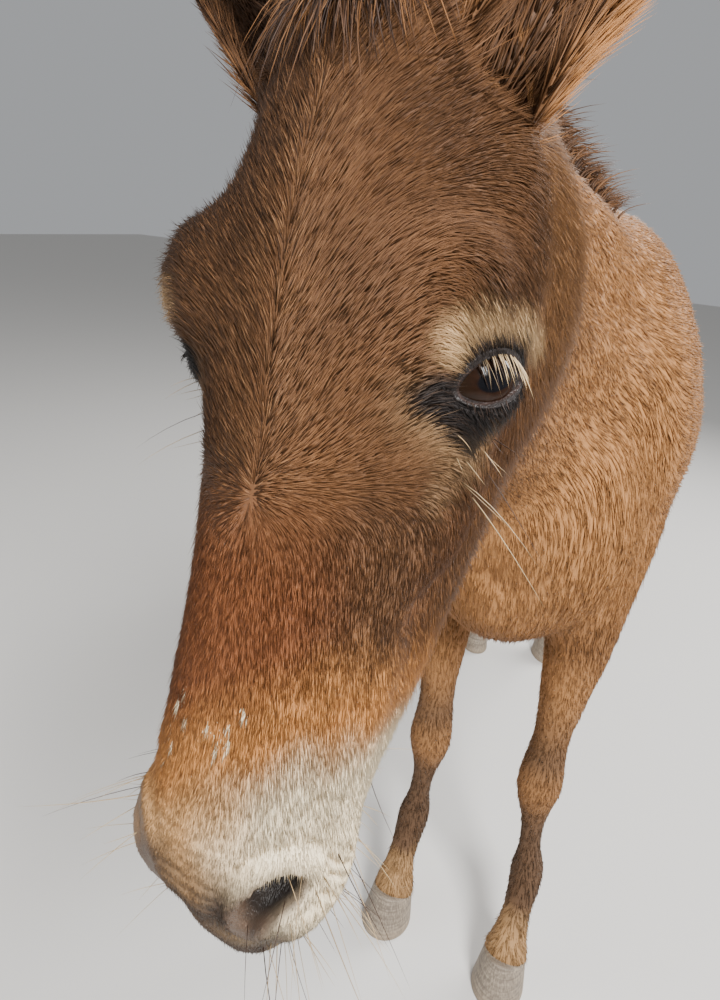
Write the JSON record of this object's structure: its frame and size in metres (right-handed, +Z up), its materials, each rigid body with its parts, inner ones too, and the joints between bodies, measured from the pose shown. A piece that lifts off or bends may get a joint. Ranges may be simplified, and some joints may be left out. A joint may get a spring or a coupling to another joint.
{
  "type": "mule",
  "caption": "Life-size still mule standing on all its hooves, trunk bent a little, neck stretched forward and head hung low, with long ears, short mane, forelock and a tail of loose locks.",
  "frame": {"origin": "middle of the animal's footprint box, on the ground under its hooves", "axes": "+Z up, the mule faces -Y, its left side is +X"},
  "size_m": [0.555, 2.0302, 1.5609],
  "materials": {
    "coat": "short chestnut hair with a soft sheen",
    "dark_coat": "short grey-brown hair",
    "mane_hair": "long coarse dark hair",
    "hoof_horn": "grey horn with growth rings",
    "eye": "wet dark brown"
  },
  "bodies": {
    "root": {"head": "coat", "neck": "coat", "torso": "coat", "ear_left": "coat", "ear_right": "coat", "front_leg_left": "dark_coat", "front_leg_right": "dark_coat", "hind_leg_left": "dark_coat", "hind_leg_right": "dark_coat", "tail": "mane_hair", "front_hoof_left": "hoof_horn", "front_hoof_right": "hoof_horn", "hind_hoof_left": "hoof_horn", "hind_hoof_right": "hoof_horn", "eye_left": "eye", "eye_right": "eye"}
  },
  "joints": []
}
